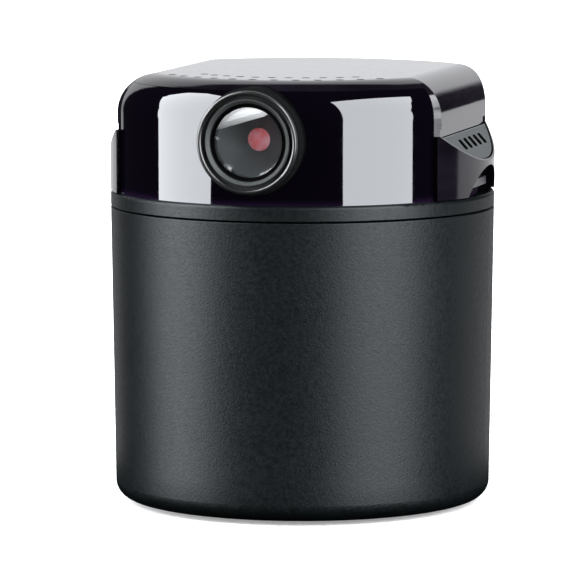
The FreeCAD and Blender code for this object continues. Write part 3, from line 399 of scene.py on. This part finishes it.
def coated_glass():
    """Inner lens with a red anti-reflection coating."""
    s = Shader("coated_glass")
    cloud = s.noise(1.1 * MM, detail=2.0)
    s.colour(s.tones(cloud, (0.95, 0.21, 0.23), (0.98, 0.46, 0.52)))
    s.set(ior=1.6, coat_weight=1.0, coat_roughness=0.03)
    s.rough(s.spread(s.noise(0.4 * MM), 0.08, 0.16))
    return s.material


def barrel_black():
    """Ribbed dark cone behind the glass."""
    s = Shader("barrel_black")
    marks = s.turning_marks(0.12 * MM)
    s.colour(s.blend(marks, (0.06, 0.064, 0.068), (0.09, 0.096, 0.1)))
    s.rough(s.spread(s.noise(0.25 * MM), 0.45, 0.6))
    s.bump(marks, 0.01 * MM, 0.5)
    return s.material


def foot_rubber():
    """Black rubber with a coarse grain and patches of dust."""
    s = Shader("foot_rubber")
    grain = s.noise(0.2 * MM, detail=4.0, rough=0.7)
    dust = s.noise(4 * MM)
    s.colour(s.tones(dust, (0.012, 0.012, 0.013), (0.035, 0.034, 0.032), 0.45, 0.75))
    s.rough(s.spread(grain, 0.75, 0.92))
    s.bump(grain, 0.02 * MM, 0.6)
    return s.material


def button_gloss():
    """Glossy black button, rubbed pale along its edge."""
    s = Shader("button_gloss")
    rub = s.noise(0.8 * MM)
    base = s.blend(rub, (0.012, 0.011, 0.014), (0.022, 0.02, 0.025))
    s.colour(s.blend(s.edge_wear(0.1 * MM), base, (0.06, 0.06, 0.065)))
    s.rough(s.spread(rub, 0.14, 0.26))
    s.bump(s.noise(0.15 * MM), 0.005 * MM, 0.3)
    return s.material


def light_rod():
    """Milky acrylic rod that carries the status light to the outside."""
    s = Shader("light_rod")
    s.colour(s.blend(s.noise(0.5 * MM), (0.82, 0.86, 0.9), (0.95, 0.97, 1.0)))
    s.set(transmission_weight=0.7, ior=1.49)
    s.rough(s.spread(s.noise(0.2 * MM), 0.18, 0.3))
    return s.material


# ---- materials of the inside ---------------------------------------------------------
def moulded(name, dark, light, smooth, coarse, grain_size=0.3 * MM, depth=0.01 * MM):
    """Plain moulded or coated part: two close tones, a grain and a slight relief."""
    s = Shader(name)
    grain = s.noise(grain_size, rough=0.6)
    drift = s.noise(5 * MM, detail=2.0)
    s.colour(s.tones(s.weighted_sum((grain, 0.5), (drift, 0.5)), dark, light, 0.38, 0.62))
    s.rough(s.spread(grain, smooth, coarse))
    s.bump(grain, depth, 0.5)
    return s.material


def metal(name, dark, light, smooth, coarse):
    """Bare or plated metal with directional brushing."""
    s = Shader(name)
    s.set(metallic=1.0)
    brush = s.noise(0.15 * MM, rough=0.6, vector=s.stretched(1.0, 0.08, 1.0))
    patina = s.noise(2.5 * MM)
    s.colour(s.tones(s.weighted_sum((brush, 0.5), (patina, 0.5)), dark, light))
    s.rough(s.spread(brush, smooth, coarse))
    s.bump(brush, 0.004 * MM, 0.4)
    return s.material


def circuit_board():
    """Green solder mask with fine copper tracks showing through it."""
    s = Shader("circuit_board")
    mask = s.noise(0.8 * MM, detail=2.0)
    base = s.blend(mask, (0.006, 0.055, 0.025), (0.010, 0.085, 0.04))
    tracks = s.ranged(s.cells(1.3 * MM, "DISTANCE_TO_EDGE"), 0.03, 0.07, 1.0, 0.0)
    s.colour(s.blend(tracks, base, (0.03, 0.16, 0.07)))
    s.rough(s.spread(mask, 0.25, 0.38))
    s.bump(tracks, 0.02 * MM, 0.4)
    return s.material


def mesh_fabric():
    """Woven acoustic mesh: crossed threads from two sets of waves."""
    s = Shader("mesh_fabric")
    pitch = 0.22 * MM
    across = s.calc("SINE", s.calc("MULTIPLY", s.axis("X"), 2 * math.pi / pitch))
    along = s.calc("SINE", s.calc("MULTIPLY", s.axis("Y"), 2 * math.pi / pitch))
    weave = s.ranged(s.calc("MULTIPLY", across, along), -1.0, 1.0, 0.0, 1.0)
    s.colour(s.blend(weave, (0.004, 0.004, 0.005), (0.03, 0.03, 0.033)))
    s.rough(s.ranged(weave, 0.0, 1.0, 0.85, 0.6))
    s.bump(weave, 0.05 * MM, 0.8)
    return s.material


def foam():
    """Soft dark foam with open pores."""
    return moulded("foam", (0.02, 0.02, 0.021), (0.05, 0.05, 0.052), 0.85, 0.95,
                   grain_size=0.5 * MM, depth=0.1 * MM)


def lamp_resin():
    """Dark violet resin that passes infrared light."""
    return moulded("lamp_resin", (0.012, 0.006, 0.016), (0.03, 0.014, 0.036), 0.08, 0.16,
                   grain_size=1.0 * MM)


def inner_plastic():
    return moulded("inner_plastic", (0.018, 0.018, 0.019), (0.032, 0.032, 0.034), 0.5, 0.62)


def connector_plastic():
    return moulded("connector_plastic", (0.012, 0.012, 0.013), (0.026, 0.026, 0.027), 0.38, 0.5)


def glide_plastic():
    return moulded("glide_plastic", (0.62, 0.62, 0.59), (0.74, 0.74, 0.71), 0.4, 0.52)


def cell_wrap():
    """Shrunk film round a battery cell, slightly wrinkled."""
    return moulded("cell_wrap", (0.42, 0.44, 0.47), (0.56, 0.58, 0.61), 0.28, 0.42,
                   grain_size=1.5 * MM, depth=0.06 * MM)


def card_plastic():
    return moulded("card_plastic", (0.010, 0.010, 0.012), (0.022, 0.022, 0.025), 0.32, 0.44)


def chip_black():
    return moulded("chip_black", (0.014, 0.014, 0.015), (0.028, 0.028, 0.029), 0.45, 0.58)


def flex_amber():
    return moulded("flex_amber", (0.30, 0.12, 0.02), (0.48, 0.22, 0.04), 0.16, 0.28)


def speaker_film():
    return moulded("speaker_film", (0.04, 0.04, 0.042), (0.08, 0.08, 0.084), 0.5, 0.65)


def lead_sleeve():
    return moulded("lead_sleeve", (0.16, 0.012, 0.012), (0.28, 0.03, 0.028), 0.5, 0.62)


def magnet_plate():
    return metal("magnet_plate", (0.42, 0.42, 0.43), (0.58, 0.58, 0.59), 0.22, 0.36)


def screw_steel():
    return metal("screw_steel", (0.40, 0.40, 0.42), (0.55, 0.55, 0.57), 0.25, 0.4)


def spring_steel():
    return metal("spring_steel", (0.36, 0.36, 0.38), (0.5, 0.5, 0.52), 0.28, 0.42)


def socket_steel():
    return metal("socket_steel", (0.5, 0.5, 0.52), (0.66, 0.66, 0.68), 0.2, 0.34)


def heat_aluminium():
    return metal("heat_aluminium", (0.6, 0.6, 0.62), (0.75, 0.75, 0.77), 0.3, 0.45)


# Each function makes the material for the slot that it's named after.
MAKERS = [
    body_matte, window_violet, cover_gloss, vent_grey, port_gloss, bezel_black, trim_grey, lens_glass,
    coated_glass, barrel_black, foot_rubber, button_gloss, light_rod, circuit_board, mesh_fabric, foam,
    lamp_resin, inner_plastic, connector_plastic, glide_plastic, cell_wrap, card_plastic, chip_black,
    flex_amber, speaker_film, lead_sleeve, magnet_plate, screw_steel, spring_steel, socket_steel,
    heat_aluminium,
]
MAKER_OF_SLOT = {maker.__name__: maker for maker in MAKERS}


def dress_nodes():
    """Gives each CAD node the material of its slot."""
    made = {}
    for row in frame["record"]["subparts"]:
        slot = row["material_slot"]
        if slot not in made:
            made[slot] = MAKER_OF_SLOT[slot]()
        for material_slot in NODES[row["node"]].material_slots:
            material_slot.material = made[slot]


# ---- stage and light -----------------------------------------------------------------
def direction(azimuth):
    """Level unit vector: azimuth is in degrees, counted from -Y towards +X."""
    angle = math.radians(azimuth)
    return Vector((math.sin(angle), -math.cos(angle), 0.0))


def flat_sheet(name, corners, material):
    """One flat face that belongs to the stage."""
    mesh = bpy.data.meshes.new(name)
    mesh.from_pydata([tuple(corner) for corner in corners], [], [tuple(range(len(corners)))])
    mesh.materials.append(material)
    sheet = bpy.data.objects.new(name, mesh)
    bpy.context.collection.objects.link(sheet)
    return sheet


def make_floor():
    """White floor that the object's gloss doesn't see."""
    s = Shader("floor_paper")
    s.colour(s.blend(s.noise(0.08), (0.80, 0.80, 0.80), (0.84, 0.84, 0.84)))
    s.set(roughness=0.9, specular_ior_level=0.1, emission_color=(1.0, 1.0, 1.0), emission_strength=FLOOR_GLOW)
    ways = [(-1, -1), (1, -1), (1, 1), (-1, 1)]
    floor = flat_sheet("floor", [(x * FLOOR_REACH, y * FLOOR_REACH, 0) for x, y in ways], s.material)
    floor.visible_glossy = False
    floor.visible_diffuse = False
    floor.visible_transmission = False
    floor.visible_shadow = False
    return floor


def contact_card():
    """Black disc just under the floor: the shade round the foot, as the object's own gloss sees it."""
    s = Shader("contact_shade")
    s.colour(s.blend(s.noise(5 * MM), (0.002, 0.002, 0.002), (0.006, 0.006, 0.006)))
    s.set(roughness=1.0, specular_ior_level=0.0)
    depth = Vector(UP) * CARD_DEPTH
    corners = [direction(360 * side / CARD_SIDES) * CARD_RADIUS - depth for side in range(CARD_SIDES)]
    card = flat_sheet("contact_card", corners, s.material)
    card.visible_camera = False


def link_light(light, thing, state):
    """INCLUDE: the light falls on this object alone. EXCLUDE: on everything else."""
    group = bpy.data.collections.new(light.name + "_receivers")
    group.objects.link(thing)
    group.collection_objects[0].light_linking.link_state = state
    light.light_linking.receiver_collection = group


def softbox(name, azimuth, outline, glow, fade=None):
    """A flat glowing sheet facing the object, far off.

    fade is the pair of heights between which the glow rises from nothing to all of it, as
    shares of the distance.
    """
    material = bpy.data.materials.new(name)
    nodes = Nodes(material)
    strength = glow
    if fade:
        low, high = fade
        strength = nodes.ranged(nodes.axis("Z"), low * PANEL_DISTANCE, high * PANEL_DISTANCE, 0.0, glow,
                                smooth=True)
    light = nodes.node("Emission", color=PANEL_TINT, strength=strength)
    nodes.link(light.outputs["Emission"], nodes.node("OutputMaterial").inputs["Surface"])
    across = direction(azimuth + 90) * PANEL_DISTANCE
    up = Vector(UP) * PANEL_DISTANCE
    middle = direction(azimuth) * PANEL_DISTANCE
    corners = [middle + across * right + up * height for right, height in outline]
    sheet = flat_sheet(name, corners, material)
    sheet.visible_camera = False
    sheet.visible_shadow = False
    return sheet


def overhead(floor):
    """Large soft light above, for the floor alone: it makes the soft contact shadow."""
    light = bpy.data.lights.new("floor_light", "AREA")
    light.shape = "DISK"
    light.size = FLOOR_LIGHT_WIDTH
    light.energy = FLOOR_LIGHT_POWER
    lamp = bpy.data.objects.new("floor_light", light)
    bpy.context.collection.objects.link(lamp)
    lamp.location = FLOOR_LIGHT_PLACE
    lamp.visible_camera = False
    link_light(lamp, floor, "INCLUDE")


def make_lights(floor):
    """Two large panels, a small one that only the lens glass sees, and the floor's own light."""
    glass = NODES["lens_front_glass"]
    softbox("right_softbox", RIGHT_AZIMUTH, RIGHT_PANEL, RIGHT_GLOW)
    left = softbox("left_softbox", LEFT_AZIMUTH, LEFT_PANEL, LEFT_GLOW)
    link_light(left, glass, "EXCLUDE")
    moon = softbox("lens_softbox", MOON_AZIMUTH, MOON_PANEL, MOON_GLOW, MOON_FADE)
    link_light(moon, glass, "INCLUDE")
    overhead(floor)


def make_world():
    """White wall behind and below, and a dark room in front, as the gloss shows them."""
    world = bpy.data.worlds.new("studio")
    bpy.context.scene.world = world
    nodes = Nodes(world, "Generated")

    def half_round(azimuth):
        """1 on the half of the room round this azimuth, and 0 on the other half."""
        side = nodes.dot(nodes.coords, direction(azimuth))
        return nodes.ranged(side, -AZIMUTH_SOFTNESS, AZIMUTH_SOFTNESS, 0.0, 1.0, smooth=True)

    up = nodes.axis("Z")
    under_top = nodes.ranged(up, WALL_TOP - WALL_TOP_SOFTNESS, WALL_TOP + WALL_TOP_SOFTNESS, 1.0, 0.0,
                             smooth=True)
    below_horizon = nodes.ranged(up, -HORIZON_SOFTNESS, 0.0, 1.0, 0.0, smooth=True)
    wall = nodes.calc("MULTIPLY", half_round(WALL_BEGINS + 90), under_top)
    ground = nodes.calc("MULTIPLY", half_round(GROUND_BEGINS + 90), below_horizon)
    white = nodes.calc("MULTIPLY", nodes.calc("MAXIMUM", wall, ground), half_round(WALL_ENDS - 90))
    room = nodes.node("Background", color=nodes.blend(white, ROOM_DARK, WALL_WHITE))
    backdrop = nodes.node("Background", color=BACKDROP_WHITE)
    choice = nodes.node("MixShader")
    nodes.link(nodes.node("LightPath").outputs["Is Camera Ray"], choice.inputs["Fac"])
    nodes.link(room.outputs["Background"], choice.inputs[1])
    nodes.link(backdrop.outputs["Background"], choice.inputs[2])
    nodes.link(choice.outputs["Shader"], nodes.node("OutputWorld").inputs["Surface"])


def make_camera():
    """Long lens, a little above the object and round towards the card port."""
    camera_data = bpy.data.cameras.new("camera")
    camera_data.sensor_width = SENSOR_WIDTH
    camera_data.lens = FOCAL_LENGTH
    camera_data.clip_start = NEAREST_SEEN
    camera_data.shift_x = FRAME_SHIFT_X
    camera = bpy.data.objects.new("camera", camera_data)
    bpy.context.collection.objects.link(camera)
    place = direction(VIEW_AZIMUTH) * VIEW_DISTANCE
    place.z = VIEW_HEIGHT
    camera.location = place
    camera.rotation_euler = (Vector((0, 0, AIM_HEIGHT)) - place).to_track_quat("-Z", "Y").to_euler()
    bpy.context.scene.camera = camera


bpy.context.scene.view_settings.view_transform = "Standard"
make_camera()
dress_nodes()
floor = make_floor()
contact_card()
make_world()
make_lights(floor)
